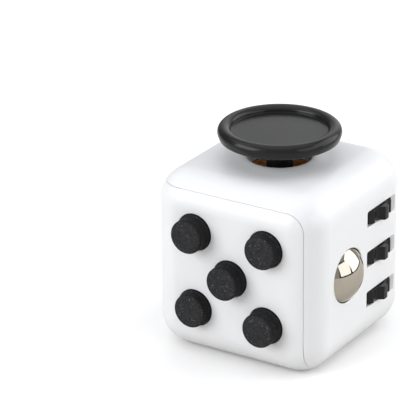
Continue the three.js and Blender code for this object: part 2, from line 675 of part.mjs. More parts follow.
// Two straight arms joined by a bend, with a tab for the screw.
const armOutline = [
  [ARM_END, ARM_INSIDE], [ARM_BEND[0], ARM_INSIDE], [ARM_BEND[0], -ARM_INSIDE],
  [ARM_END, -ARM_INSIDE], [ARM_END, -ARM_OUTSIDE], [ARM_BEND[1], -ARM_OUTSIDE],
  [ARM_BEND[1], -TAB[1]], [TAB[0], -TAB[1]], [TAB[0], TAB[1]], [ARM_BEND[1], TAB[1]],
  [ARM_BEND[1], ARM_OUTSIDE], [ARM_END, ARM_OUTSIDE],
];
const springScrew = [0, SPIN_SCREW_Y, 0];
add('spin_spring', cut(
  acrossLeft(armOutline, ...ARM_X),
  pilot('left', springScrew, ARM_X[0] - PAST, ARM_X[1] + PAST),
), STEEL);
add('spin_spring_screw',
  FACING.left(screw(1.8).translate(0, 0, ARM_X[0] - TOUCH)).translate(...springScrew), STEEL);

// ---------- worry stone: a thumb dish let into the base ----------
// The dish is a shallow bowl whose edge eases into a flat border.
const dishEdgeR = PAD_R - 0.9;
const bowl = Array.from({ length: 6 }, (_, i) => {
  const r = dishEdgeR * (1 - i / 5);
  return [r, HALF - 0.15 - (PAD_DEPTH - 0.15) * Math.cos((Math.PI * r) / (2 * dishEdgeR)) ** 2];
});
add('worry_pad', FACING.bottom(turned([
  [0, PAD_FLANGE[0] - 0.45], [6.5, PAD_FLANGE[0]], [PAD_FLANGE_R, PAD_FLANGE[0]],
  [PAD_FLANGE_R, PAD_FLANGE[1]], [PAD_R, PAD_FLANGE[1]], [PAD_R, HALF - 0.3],
  [PAD_R - 0.2, HALF - 0.15], ...bowl,
], 32)), BLACK_PLASTIC);
add('worry_frame', FACING.bottom(cut(
  clippedSquare(CARRIER_HALF, 0.6, ...PAD_FRAME_Z),
  rod(PAD_FRAME_HOLE_R, PAD_FRAME_Z[0] - PAST, PAD_FRAME_Z[1] + PAST, 32),
  ...padScrews.map(([x, y]) =>
    pilot('top', [x, -y, 0], PAD_FRAME_Z[0] - PAST, PAD_FRAME_Z[1] + PAST)),
)), NATURAL);
addScrews('worry_screw', 'bottom', padScrews, PAD_FRAME_Z[0], 2.7);

export default object;
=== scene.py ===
"""Looks for the fidget cube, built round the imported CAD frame.

Metres, +Z up, the click face towards -Y. Each toy module is drawn on its face's own axes: +Z out of
the wall, the origin on the wall's outer plane. Outlines are in millimetres and scaled once, on placing.
"""
import json
import math

import bmesh
import bpy
from mathutils import Matrix, Vector


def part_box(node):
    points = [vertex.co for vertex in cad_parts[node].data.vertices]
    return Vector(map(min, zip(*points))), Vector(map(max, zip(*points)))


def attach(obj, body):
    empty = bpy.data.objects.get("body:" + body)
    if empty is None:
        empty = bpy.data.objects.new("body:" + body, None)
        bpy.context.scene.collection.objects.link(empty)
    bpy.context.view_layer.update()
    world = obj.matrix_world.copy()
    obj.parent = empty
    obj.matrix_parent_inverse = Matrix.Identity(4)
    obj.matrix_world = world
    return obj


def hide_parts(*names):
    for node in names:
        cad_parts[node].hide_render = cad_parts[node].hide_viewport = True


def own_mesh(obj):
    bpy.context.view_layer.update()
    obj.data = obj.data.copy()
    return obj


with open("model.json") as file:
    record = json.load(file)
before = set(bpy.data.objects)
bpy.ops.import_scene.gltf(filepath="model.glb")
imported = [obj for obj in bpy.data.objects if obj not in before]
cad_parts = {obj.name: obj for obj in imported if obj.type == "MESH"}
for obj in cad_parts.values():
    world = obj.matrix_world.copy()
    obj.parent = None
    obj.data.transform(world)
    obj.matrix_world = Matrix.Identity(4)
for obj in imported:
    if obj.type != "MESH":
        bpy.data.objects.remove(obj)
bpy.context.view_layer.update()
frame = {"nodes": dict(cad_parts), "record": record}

MM = 0.001
SHELL_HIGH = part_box("upper_shell")[1]
HALF = SHELL_HIGH.x
CENTRE = Vector((0, 0, HALF))
HALF_MM = HALF / MM
EDGE_R = 5.8
WALL = 2.0

# below these, in millimetres, two points are one and a radius lies on the axis
WELD = 1e-5
ON_AXIS = 1e-6

# sides of the large round rims
RIM_STEPS = 96

# the turn that takes local +Z out of each face
FACE_TURN = {
    "top": Matrix.Identity(4),
    "bottom": Matrix.Rotation(math.pi, 4, "X"),
    "front": Matrix.Rotation(math.pi / 2, 4, "X"),
    "back": Matrix.Rotation(-math.pi / 2, 4, "X"),
    "right": Matrix.Rotation(math.pi / 2, 4, "Y"),
    "left": Matrix.Rotation(-math.pi / 2, 4, "Y"),
}


def face_axes(face, u=0.0, v=0.0):
    """Local millimetres to the row frame: the origin on the wall's outer plane, +Z out of it."""
    return (
        Matrix.Translation(CENTRE) @ FACE_TURN[face]
        @ Matrix.Translation((u * MM, v * MM, HALF)) @ Matrix.Scale(MM, 4)
    )


def local_uv(face, point):
    """Where a point of the row frame falls on a face's own two axes, in millimetres."""
    p = FACE_TURN[face].inverted() @ (point - CENTRE)
    return p.x / MM, p.y / MM


def node_centre(name):
    low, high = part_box(name)
    return (low + high) / 2


# ---------- outlines ----------
def arc(centre, radius, start, end, steps):
    """Points on an arc, angles in degrees."""
    cx, cy = centre
    angles = [math.radians(start + (end - start) * i / steps) for i in range(steps + 1)]
    return [(cx + radius * math.cos(a), cy + radius * math.sin(a)) for a in angles]


def softened(points, radii, steps, closed=False):
    """A polyline whose corners are rounded by the given radii, one for each (0 keeps a corner)."""
    nearly_half = 0.49
    out = []
    last = len(points) - 1
    for i, ((x, y), radius) in enumerate(zip(points, radii)):
        if radius == 0 or (not closed and i in (0, last)):
            out.append((x, y))
            continue
        here = Vector((x, y))
        before = Vector(points[i - 1]) - here
        after = Vector(points[(i + 1) % len(points)]) - here
        reach = min(radius, before.length * nearly_half, after.length * nearly_half)
        a = here + before.normalized() * reach
        b = here + after.normalized() * reach
        for k in range(steps + 1):
            t = k / steps
            p = a * (1 - t) ** 2 + here * 2 * t * (1 - t) + b * t ** 2
            out.append((p.x, p.y))
    return out


def rounded_rectangle(half_w, half_h, radius, steps):
    """A rectangle about the origin with rounded corners."""
    corners = [
        (half_w, half_h, 0), (-half_w, half_h, 90),
        (-half_w, -half_h, 180), (half_w, -half_h, 270),
    ]
    out = []
    for x, y, start in corners:
        centre = (x - math.copysign(radius, x), y - math.copysign(radius, y))
        out += arc(centre, radius, start, start + 90, steps)
    return out


# ---------- meshes ----------
def new_object(name, mesh_or_bm, place=None):
    """An object in the scene from a mesh or an edit mesh, which is used up."""
    if isinstance(mesh_or_bm, bmesh.types.BMesh):
        mesh = bpy.data.meshes.new(name)
        mesh_or_bm.to_mesh(mesh)
        mesh_or_bm.free()
    else:
        mesh = mesh_or_bm
    if place is not None:
        mesh.transform(place)
    obj = bpy.data.objects.new(name, mesh)
    bpy.context.scene.collection.objects.link(obj)
    return obj


def revolved(name, profile, place, steps):
    """A turned solid from (radius, height) pairs about local +Z."""
    turn = [2 * math.pi * k / steps for k in range(steps)]
    bm = bmesh.new()
    rings = []
    for r, h in profile:
        if r < ON_AXIS:
            rings.append([bm.verts.new((0, 0, h))] * steps)
        else:
            rings.append([bm.verts.new((r * math.cos(a), r * math.sin(a), h)) for a in turn])
    for lower, upper in zip(rings, rings[1:]):
        for k in range(steps):
            n = (k + 1) % steps
            corners = []
            for v in (lower[k], lower[n], upper[n], upper[k]):
                if v not in corners:
                    corners.append(v)
            if len(corners) > 2:
                bm.faces.new(corners)
    bmesh.ops.remove_doubles(bm, verts=bm.verts, dist=WELD)
    bmesh.ops.recalc_face_normals(bm, faces=bm.faces)
    return new_object(name, bm, place)


def lofted(name, sections, place):
    """A closed solid through stacked outlines: [(height, outline), ...], all with as many points."""
    bm = bmesh.new()
    loops = [[bm.verts.new((x, y, h)) for x, y in outline] for h, outline in sections]
    count = len(loops[0])
    for lower, upper in zip(loops, loops[1:]):
        for k in range(count):
            n = (k + 1) % count
            bm.faces.new((lower[k], lower[n], upper[n], upper[k]))
    bm.faces.new(reversed(loops[0]))
    bm.faces.new(loops[-1])
    bmesh.ops.recalc_face_normals(bm, faces=bm.faces)
    return new_object(name, bm, place)


def block(name, low, high, place):
    """A plain block between two corners, for cutting with."""
    bm = bmesh.new()
    bmesh.ops.create_cube(bm, size=1)
    size = Matrix.Diagonal([h - l for l, h in zip(low, high)] + [1])
    middle = Matrix.Translation([(h + l) / 2 for l, h in zip(low, high)])
    bm.transform(middle @ size)
    return new_object(name, bm, place)


def rounded_cube(name, half, radius, segments, place):
    """A cube whose edges and corners are rounded."""
    bm = bmesh.new()
    bmesh.ops.create_cube(bm, size=2 * half)
    bmesh.ops.bevel(
        bm, geom=list(bm.edges), offset=radius, offset_type="OFFSET", segments=segments,
        profile=0.5, affect="EDGES",
    )
    return new_object(name, bm, place)


def settle(obj):
    """Apply every modifier on a piece."""
    graph = bpy.context.evaluated_depsgraph_get()
    mesh = bpy.data.meshes.new_from_object(obj.evaluated_get(graph))
    obj.modifiers.clear()
    obj.data = mesh


def combine(obj, tools, operation):
    """Cut with, join to or keep what is common with each tool in turn; the tools are used up."""
    for tool in tools:
        mod = obj.modifiers.new("boolean", "BOOLEAN")
        mod.object = tool
        mod.operation = operation
        mod.solver = "EXACT"
        bpy.context.view_layer.update()
        settle(obj)
        bpy.data.objects.remove(tool)
    return obj


def smooth(obj, angle):
    """Smooth shading with crisp corners, and flat walls kept flat beside their round edges."""
    for face in obj.data.polygons:
        face.use_smooth = True
    obj.data.set_sharp_from_angle(angle=math.radians(angle))
    mod = obj.modifiers.new("normals", "WEIGHTED_NORMAL")
    mod.keep_sharp = True
    mod.weight = 100


def bevel(obj, width, segments, angle):
    """Round every edge sharper than the angle, by a width in millimetres."""
    mod = obj.modifiers.new("bevel", "BEVEL")
    mod.width = width * MM
    mod.segments = segments
    mod.limit_method = "ANGLE"
    mod.angle_limit = math.radians(angle)
    mod.use_clamp_overlap = True
    settle(obj)


# ---------- materials ----------
def node(tree, kind, **settings):
    """A new shader node; each setting goes to the input of that name, or else to the attribute."""
    made = tree.nodes.new(kind)
    for key, value in settings.items():
        if key in made.inputs:
            made.inputs[key].default_value = value
        else:
            setattr(made, key, value)
    return made


class Surface:
    """A Principled material with object-space noise for its colour, roughness and bump."""

    def __init__(self, name, base, roughness, metallic=0.0, **constants):
        self.material = bpy.data.materials.new(name)
        self.material.use_nodes = True
        self.tree = self.material.node_tree
        self.shader = self.tree.nodes["Principled BSDF"]
        self.shader.inputs["Base Color"].default_value = (*base, 1)
        self.shader.inputs["Roughness"].default_value = roughness
        self.shader.inputs["Metallic"].default_value = metallic
        for key, value in constants.items():
            self.shader.inputs[key.replace("_", " ")].default_value = value
        self.base = base
        self.where = node(self.tree, "ShaderNodeTexCoord")

    def link(self, out, into):
        self.tree.links.new(out, into)

    def noise(self, per_mm, detail=3.0, rough=0.55):
        made = node(self.tree, "ShaderNodeTexNoise", Detail=detail, Roughness=rough)
        made.inputs["Scale"].default_value = per_mm / MM
        self.link(self.where.outputs["Object"], made.inputs["Vector"])
        return made.outputs["Fac"]

    def spread(self, source, low, high, start=0.3, stop=0.7):
        made = node(self.tree, "ShaderNodeMapRange")
        made.inputs["From Min"].default_value = start
        made.inputs["From Max"].default_value = stop
        made.inputs["To Min"].default_value = low
        made.inputs["To Max"].default_value = high
        self.link(source, made.inputs["Value"])
        return made.outputs["Result"]

    def times(self, first, second):
        made = node(self.tree, "ShaderNodeMath", operation="MULTIPLY")
        self.link(first, made.inputs[0])
        self.link(second, made.inputs[1])
        return made.outputs[0]

    def blend(self, factor, first, second):
        made = node(self.tree, "ShaderNodeMix", data_type="RGBA")
        for socket, colour in ((made.inputs[6], first), (made.inputs[7], second)):
            if isinstance(colour, tuple):
                socket.default_value = (*colour, 1)
            else:
                self.link(colour, socket)
        self.link(factor, made.inputs[0])
        return made.outputs[2]

    def vary_colour(self, per_mm, other, amount):
        factor = self.spread(self.noise(per_mm), 0.0, amount)
        colour = self.blend(factor, self.base, other)
        self.link(colour, self.shader.inputs["Base Color"])
        return colour

    def vary_roughness(self, per_mm, low, high):
        self.link(self.spread(self.noise(per_mm), low, high), self.shader.inputs["Roughness"])

    def bump(self, *layers):
        """Each layer is (cells per mm, height in mm, detail)."""
        normal = None
        for per_mm, height, detail in layers:
            made = node(self.tree, "ShaderNodeBump", Strength=1.0)
            made.inputs["Distance"].default_value = height * MM
            self.link(self.noise(per_mm, detail), made.inputs["Height"])
            if normal is not None:
                self.link(normal, made.inputs["Normal"])
            normal = made.outputs["Normal"]
        self.link(normal, self.shader.inputs["Normal"])


def white_abs():
    s = Surface(
        "white_abs", (0.71, 0.721, 0.741), 0.36, Subsurface_Weight=0.12, Subsurface_Scale=0.0006,
    )
    s.shader.inputs["Subsurface Radius"].default_value = (1.0, 0.95, 0.9)
    s.vary_colour(per_mm=0.12, other=(0.695, 0.706, 0.726), amount=0.6)
    s.vary_roughness(per_mm=1.3, low=0.3, high=0.4)
    s.bump((5.0, 0.004, 2.0), (0.35, 0.01, 1.0))
    return s.material


def speckled_rubber():
    """Black rubber with a mottled tone, painted lighter grey where the cap faces front as painted light
    (a lit front against shaded sides), with pale specks in patches that the same painted light fades
    off the sides.
    """
    # the first grey is painted light: the lift of the cap's lit front over its shaded sides
    lit_front_grey, speck_grey = (0.027, 0.028, 0.031), (0.26, 0.26, 0.26)
    s = Surface("black_rubber", (0.002, 0.002, 0.0025), 0.78, Specular_IOR_Level=0.22)
    dust = node(s.tree, "ShaderNodeTexVoronoi", feature="F1", distance="EUCLIDEAN")
    dust.inputs["Scale"].default_value = 2.9 / MM
    s.link(s.where.outputs["Object"], dust.inputs["Vector"])
    speck = s.spread(dust.outputs["Distance"], 1.0, 0.0, 0.1, 0.24)
    patchy = s.spread(s.noise(0.9), 0.0, 1.0, 0.44, 0.66)
    # painted light: faces turned to the front (-Y) are made greyer and the sides stay black, a painted
    # lit front and shaded sides
    facing = node(s.tree, "ShaderNodeVectorMath", operation="DOT_PRODUCT")
    s.link(s.where.outputs["Normal"], facing.inputs[0])
    facing.inputs[1].default_value = (0, -1, 0)
    lit_front_mask = s.spread(facing.outputs["Value"], 0.12, 1.0, 0.3, 0.95)
    # the mottling is the rubber's own uneven tone; multiplied by the front mask it also carries the
    # painted light
    mottle_and_lit_front = s.times(s.spread(s.noise(2.6, detail=6.0, rough=0.7), 0.3, 1.0, 0.36, 0.7), lit_front_mask)
    grey = s.blend(mottle_and_lit_front, s.base, lit_front_grey)
    # the pale specks are real dust, but the same painted-light mask fades them off the sides
    specks = s.times(s.times(speck, patchy), lit_front_mask)
    s.link(s.blend(specks, grey, speck_grey), s.shader.inputs["Base Color"])
    s.vary_roughness(per_mm=2.0, low=0.65, high=0.9)
    s.bump((9.0, 0.03, 4.0), (2.2, 0.02, 2.0))
    return s.material


def satin_black():
    s = Surface("satin_black", (0.009, 0.009, 0.0095), 0.2, Specular_IOR_Level=0.22)
    s.vary_colour(per_mm=0.3, other=(0.014, 0.014, 0.0145), amount=0.8)
    s.vary_roughness(per_mm=1.6, low=0.16, high=0.25)
    s.bump((9.0, 0.0022, 3.0), (0.6, 0.003, 1.0))
    return s.material


def polished_nickel():
    s = Surface("polished_nickel", (0.45, 0.42, 0.362), 0.05, metallic=1.0)
    s.vary_colour(per_mm=0.6, other=(0.42, 0.39, 0.335), amount=0.6)
    s.vary_roughness(per_mm=1.2, low=0.04, high=0.09)
    s.bump((0.9, 0.0015, 2.0))
    return s.material


def amber_plastic():
    s = Surface(
        "amber_plastic", (0.85, 0.36, 0.06), 0.3, Subsurface_Weight=0.3, Subsurface_Scale=0.001,
    )
    s.vary_colour(per_mm=0.7, other=(0.5, 0.14, 0.03), amount=0.9)
    s.vary_roughness(per_mm=2.0, low=0.25, high=0.4)
    s.bump((3.0, 0.01, 2.0))
    return s.material


def spring_steel():
    s = Surface("spring_steel", (0.62, 0.62, 0.63), 0.28, metallic=1.0)
    s.vary_colour(per_mm=0.9, other=(0.5, 0.5, 0.52), amount=0.7)
    s.vary_roughness(per_mm=3.0, low=0.2, high=0.4)
    s.bump((6.0, 0.006, 3.0))
    return s.material


def natural_nylon():
    s = Surface(
        "natural_nylon", (0.72, 0.7, 0.64), 0.48, Subsurface_Weight=0.15, Subsurface_Scale=0.0008,
    )
    s.vary_colour(per_mm=0.4, other=(0.66, 0.64, 0.58), amount=0.8)
    s.vary_roughness(per_mm=1.8, low=0.42, high=0.58)
    s.bump((4.0, 0.01, 3.0))
    return s.material


def grey_silicone():
    s = Surface("grey_silicone", (0.3, 0.31, 0.33), 0.62)
    s.vary_colour(per_mm=0.5, other=(0.26, 0.27, 0.28), amount=0.8)
    s.vary_roughness(per_mm=1.5, low=0.55, high=0.75)
    s.bump((5.0, 0.01, 3.0))
    return s.material


FINISH = {
    "white_shell": white_abs(),
    "button_rubber": speckled_rubber(),
    "black_plastic": satin_black(),
    "amber_plastic": amber_plastic(),
    "spring_steel": spring_steel(),
    "nickel": polished_nickel(),
    "natural_plastic": natural_nylon(),
    "silicone": grey_silicone(),
}
NODE_SLOT = {row["node"]: row["material_slot"] for row in frame["record"]["subparts"]}
NODE_BODY = {
    name: body for body, names in frame["record"]["behaviour"]["bodies"].items() for name in names
}


def stand_for(obj, cad_node):
    """The piece takes the place, body and finish of one CAD node."""
    obj.data.materials.clear()
    obj.data.materials.append(FINISH[NODE_SLOT[cad_node]])
    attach(obj, NODE_BODY[cad_node])
    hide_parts(cad_node)


# ---------- shell ----------
SEAM = HALF_MM - 1
SEAM_END = 13.94
EDGE_START = HALF_MM - EDGE_R
PLUG = 12.0
SEAM_GAP = 0.09
PAST = 1.0
CUBE_AXES = Matrix.Translation(CENTRE) @ Matrix.Scale(MM, 4)
BUTTONS = range(1, 6)
BUTTON_HOLE_R = 3.38
PAD_HOLE_R = 9.75
DIAL_HOLE_R = 2.65
GLIDE_HOLE_R = 5.7
GLIDE_LIP_H = 0.45
GLIDE_LIP = [
    (9.2, 0.0), (8.2, 0.04), (7.2, 0.2), (6.6, 0.35), (6.2, 0.43),
    (6.0, GLIDE_LIP_H), (0, GLIDE_LIP_H),
]
SOCKET_R = 6.05
WHEELS = range(1, 4)
SLOT_MIDDLE = 6.87
SLOT = {
    "half_w": 1.45, "half_h": 4.93, "corner": 0.3, "relief": 0.18, "lip": 0.8, "flare": 0.18,
    "ramp": 0.78,
}
ROCKER_HOLE = {
    "half_w": 4.3, "half_h": 6.7, "corner": 0.9, "relief": 0, "lip": 0.8, "flare": 0.3,
}
PIVOT_Y = 14.2
PIN_NOTCH = (5.15, 4.0, 0.85)
PIN_CLEARANCE = 0.95
BOSS_R = 1.6
BOSS_OVERLAP = 0.3
PILOT_R = 0.82
SKIN_LEFT = 0.8

# how far behind the outer plane each carrier's front lies
CLICK_CARRIER = -4.35
WORRY_CARRIER = -2.85
ROLL_CARRIER = -9.65
FLIP_CARRIER = -5.85


def lower_region(name, gap):
    """The front, left and bottom walls out to the parting line, grown by a gap."""
    out, far = -HALF_MM - 2, HALF_MM + 2
    seam, edge = -SEAM + gap, -EDGE_START + gap
    end, plug = SEAM_END + gap, PLUG + gap
    blocks = [
        ((out, out, out), (plug, plug, plug)),
        ((out, out, out), (far, seam, far)),
        ((out, out, out), (seam, far, far)),
        ((out, out, out), (far, far, seam)),
        ((out, out, out), (edge, edge, end)),
        ((out, out, out), (edge, end, edge)),
        ((out, out, out), (end, edge, edge)),
    ]
    parts = [block(f"{name}_{i}", low, high, CUBE_AXES) for i, (low, high) in enumerate(blocks)]
    return combine(parts[0], parts[1:], "UNION")


def round_hole(name, face, u, v, radius, flare):
    """A cutter for a round hole whose rim at the wall's outer plane is rounded over."""
    profile = [(0, -WALL - PAST), (radius, -WALL - PAST)]
    profile += arc((radius + flare, -flare), flare, 180, 90, 6)
    profile += [(radius + flare, PAST), (0, PAST)]
    return revolved(name, profile, face_axes(face, u, v), RIM_STEPS)


def slot_hole(name, face, u, v, half_w, half_h, corner, relief, lip, flare, ramp=0.0):
    """An opening with a rounded-over rim and a wider relief behind its lip.

    The end towards +v slopes back by the ramp over the height of the lip.
    """
    def grown(by, drawn_in=0.0):
        outline = rounded_rectangle(half_w + by, half_h + by, corner + max(by, 0), 5)
        return [(x, y - drawn_in if y > 0 else y) for x, y in outline]

    step = 0.01
    sections = [
        (-WALL - PAST, grown(relief)), (-lip, grown(relief)), (-lip + step, grown(0, ramp)),
    ]
    for k in range(6):
        a = math.radians(18 * k)
        height = flare * (math.sin(a) - 1)
        sections.append((height, grown(flare * (1 - math.cos(a)), ramp * -height / lip)))
    sections.append((PAST, grown(flare)))
    return lofted(name, sections, face_axes(face, u, v))


def bosses_and_pilots(screws, face, boss_from):
    """Posts behind a wall for a carrier's screws, and the pilot holes up their middles."""
    posts, pilots = [], []
    for screw in screws:
        place = face_axes(face, *local_uv(face, node_centre(screw)))
        if boss_from is not None:
            top = -WALL + BOSS_OVERLAP
            post = [(0, boss_from), (BOSS_R, boss_from), (BOSS_R, top), (0, top)]
            posts.append(revolved(f"{screw}_boss", post, place, 24))
        deep = (boss_from or -WALL) - PAST
        hole = [(0, deep), (PILOT_R, deep), (PILOT_R, -SKIN_LEFT), (0, -SKIN_LEFT)]
        pilots.append(revolved(f"{screw}_pilot", hole, place, 24))
    return posts, pilots


def socket_cutter():
    """The round pocket for the ball, with its rim at the wall's outer plane rounded over."""
    ball = node_centre("roll_ball")
    sink = (HALF - ball.x) / MM
    flare = 0.15
    edge = math.degrees(math.asin((sink - flare) / SOCKET_R))
    profile = [(0, -sink - SOCKET_R)] + arc((0, -sink), SOCKET_R, -80, edge, 24)
    rim = profile[-1][0] + 0.14
    profile += arc((rim, -flare), flare, 175, 90, 5) + [(rim, PAST), (0, PAST)]
    return revolved("socket", profile, face_axes("right", *local_uv("right", ball)), RIM_STEPS)


def shells():
    """Both halves of the case, each with its holes, posts and pilot holes."""
    outer = rounded_cube("outer", HALF_MM, EDGE_R, 14, CUBE_AXES)
    inner = rounded_cube("inner", HALF_MM - WALL, EDGE_R - WALL, 6, CUBE_AXES)
    lower = combine(outer, [inner], "DIFFERENCE")
    lower.name = "lower_shell_skin"
    upper = new_object("upper_shell_skin", lower.data.copy())
    combine(lower, [lower_region("keep", 0)], "INTERSECT")
    combine(upper, [lower_region("gap", SEAM_GAP)], "DIFFERENCE")

    click = bosses_and_pilots(["click_screw_1", "click_screw_2"], "front", CLICK_CARRIER)
    worry = bosses_and_pilots(["worry_screw_1", "worry_screw_2"], "bottom", WORRY_CARRIER)
    spin = bosses_and_pilots(["spin_spring_screw"], "left", None)
    holes = [
        round_hole(f"hole_{i}", "front", *local_uv("front", node_centre(f"click_button_{i}")),
                   BUTTON_HOLE_R, 0.06)
        for i in BUTTONS
    ]
    holes.append(round_hole("pad_hole", "bottom", 0, 0, PAD_HOLE_R, 0.15))
    holes.append(round_hole("dial_hole", "left", 0, 0, DIAL_HOLE_R, 0.15))
    combine(lower, click[0] + worry[0], "UNION")
    combine(lower, holes + click[1] + worry[1] + spin[1], "DIFFERENCE")

    lip_foot = GLIDE_LIP[0][0]
    lip_profile = [(0, -PAST), (lip_foot, -PAST)] + GLIDE_LIP
    lip = revolved("lip", lip_profile, face_axes("top"), RIM_STEPS)
    roll = bosses_and_pilots(["roll_screw_1", "roll_screw_2"], "right", ROLL_CARRIER)
    flip = bosses_and_pilots(["flip_screw_1", "flip_screw_2"], "back", FLIP_CARRIER)
    glide = bosses_and_pilots(["glide_screw_1", "glide_screw_2"], "top", None)
    flare = 0.2
    wide = GLIDE_HOLE_R + flare
    notch_x, notch_y, notch_z = PIN_NOTCH
    cuts = [
        revolved("glide_hole", [
            (0, -WALL - PAST), (GLIDE_HOLE_R, -WALL - PAST),
            *arc((wide, GLIDE_LIP_H - flare), flare, 180, 90, 5), (wide, 2 * PAST), (0, 2 * PAST),
        ], face_axes("top"), RIM_STEPS),
        socket_cutter(),
        slot_hole("rocker_hole", "back", 0, 0, **ROCKER_HOLE),
        block("pin_notch", (-notch_x, -notch_y, -notch_z),
              (notch_x, PIVOT_Y + PIN_CLEARANCE - HALF_MM, notch_z),
              face_axes("back") @ Matrix.Rotation(-math.pi / 2, 4, "X")),
    ]
    for i in WHEELS:
        at = Vector((HALF, SLOT_MIDDLE * MM, node_centre(f"roll_wheel_{i}").z))
        cuts.append(slot_hole(f"slot_{i}", "right", *local_uv("right", at), **SLOT))
    combine(upper, [lip] + roll[0] + flip[0], "UNION")
    combine(upper, cuts + roll[1] + flip[1] + glide[1], "DIFFERENCE")
    for piece, cad_node in ((lower, "lower_shell"), (upper, "upper_shell")):
        stand_for(piece, cad_node)
        smooth(piece, 30)


shells()


# ---------- click ----------
def buttons():
    """Rubber buttons: a flange, a collar through the wall, a slight waist and a dished cap."""
    back, flange_top = -2.85, -2.2
    flange_r, collar_r, waist_r, cap_r = 4.1, 3.26, 2.97, 3.05
    for i in BUTTONS:
        name = f"click_button_{i}"
        out = -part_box(name)[0].y / MM - HALF_MM
        cap_start = out * 0.52
        profile = softened([
            (0, back), (flange_r, back), (flange_r, flange_top), (collar_r, flange_top + 0.05),
            (collar_r, 0.3), (waist_r, 0.62), (waist_r, cap_start), (cap_r, cap_start + 0.3),
            (cap_r - 0.01, out - 0.3), (cap_r - 0.33, out), (0, out - 0.03),
        ], [0, 0.1, 0.1, 0.1, 0.14, 0.2, 0.15, 0.2, 0.4, 0.4, 0], 4)
        place = face_axes("front", *local_uv("front", node_centre(name)))
        cap = revolved(f"{name}_cap", profile, place, 72)
        smooth(cap, 45)
        stand_for(cap, name)


buttons()


# ---------- glide ----------
def quarter(steps):
    """Even angles from 0 to 90 degrees, in radians."""
    return [math.pi / 2 * k / steps for k in range(steps + 1)]


def glide():
    """The thumb disc, a round bead about a flat dish, and its stem."""
    under = (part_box("glide_disc")[0].z - 2 * HALF) / MM
    well, well_r = under + 0.65, 2.4
    widest_r, widest = 10.78, 4.9
    crest_r, crest = 9.65, 6.1
    dish_r, dish_edge, dish_floor = 8.46, 5.3, 5.0
    underside = softened([
        (0, well), (well_r, well), (well_r, under), (9.9, under), (10.45, under + 0.16),
        (10.68, 4.4), (widest_r, widest),
    ], [0, 0, 0.15, 0.3, 0.2, 0.4, 0], 4)
    outside = (widest_r - crest_r, crest - widest)
    inside = (crest_r - dish_r, crest - dish_edge)
    bead = [
        (crest_r + outside[0] * math.cos(a), widest + outside[1] * math.sin(a)) for a in quarter(8)
    ]
    bead += [
        (crest_r - inside[0] * math.sin(a), dish_edge + inside[1] * math.cos(a))
        for a in quarter(8)[1:]
    ]
    dish = softened([
        (dish_r, dish_edge), (dish_r - 0.02, dish_floor + 0.04), (7.4, dish_floor), (0, dish_floor),
    ], [0, 0.35, 0.5, 0], 5)
    profile = underside + bead[1:] + dish[1:]
    disc = revolved("glide_disc_cap", profile, face_axes("top"), 128)
    stand_for(disc, "glide_disc")
    smooth(disc, 40)
    foot, top = [(corner.z - 2 * HALF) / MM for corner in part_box("glide_stem")]
    neck_r, stem_r, seat = 1.3, 2.35, -3.12
    stem = revolved("glide_stem_post", softened(
        [(0, foot), (neck_r, foot), (neck_r, seat), (stem_r, seat), (stem_r, top), (0, top)],
        [0, 0.1, 0, 0.15, 0.15, 0], 3), face_axes("top"), 48)
    stand_for(stem, "glide_stem")
    smooth(stem, 40)


glide()


# ---------- roll ----------
def roll():
    """The polished ball and the three scalloped thumb wheels on their axle."""
    ball_low, ball_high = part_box("roll_ball")
    radius = (ball_high - ball_low).x / 2
    bm = bmesh.new()
    bmesh.ops.create_icosphere(bm, subdivisions=5, radius=radius)
    ball = new_object("roll_ball_polished", bm, Matrix.Translation(node_centre("roll_ball")))
    smooth(ball, 60)
    stand_for(ball, "roll_ball")

    teeth, tip, root, half_thick = 9, 5.25, 4.35, 1.25
    half_tooth, scallop_steps = 7, 12
    bore_r, bore_half = 1.08, 2
    axle_x, axle_y = 12.4 * MM, 6.75 * MM
    outline = []
    for t in range(teeth):
        middle = 360 / teeth * t
        outline += arc((0, 0), tip, middle - half_tooth, middle + half_tooth, 4)
        for k in range(1, scallop_steps):
            share = k / scallop_steps
            angle = math.radians(middle + half_tooth + (360 / teeth - 2 * half_tooth) * share)
            dip = math.sin(math.pi * share) ** 0.75
            r = tip - (tip - root) * dip
            outline.append((r * math.cos(angle), r * math.sin(angle)))
    for i in WHEELS:
        name = f"roll_wheel_{i}"
        place = Matrix.Translation((axle_x, axle_y, node_centre(name).z)) @ Matrix.Scale(MM, 4)
        wheel = lofted(f"{name}_scalloped", [(-half_thick, outline), (half_thick, outline)], place)
        bore = revolved("bore", [
            (0, -bore_half), (bore_r, -bore_half), (bore_r, bore_half), (0, bore_half),
        ], place, 32)
        combine(wheel, [bore], "DIFFERENCE")
        bevel(wheel, 0.12, 3, 40)
        smooth(wheel, 40)
        stand_for(wheel, name)


roll()


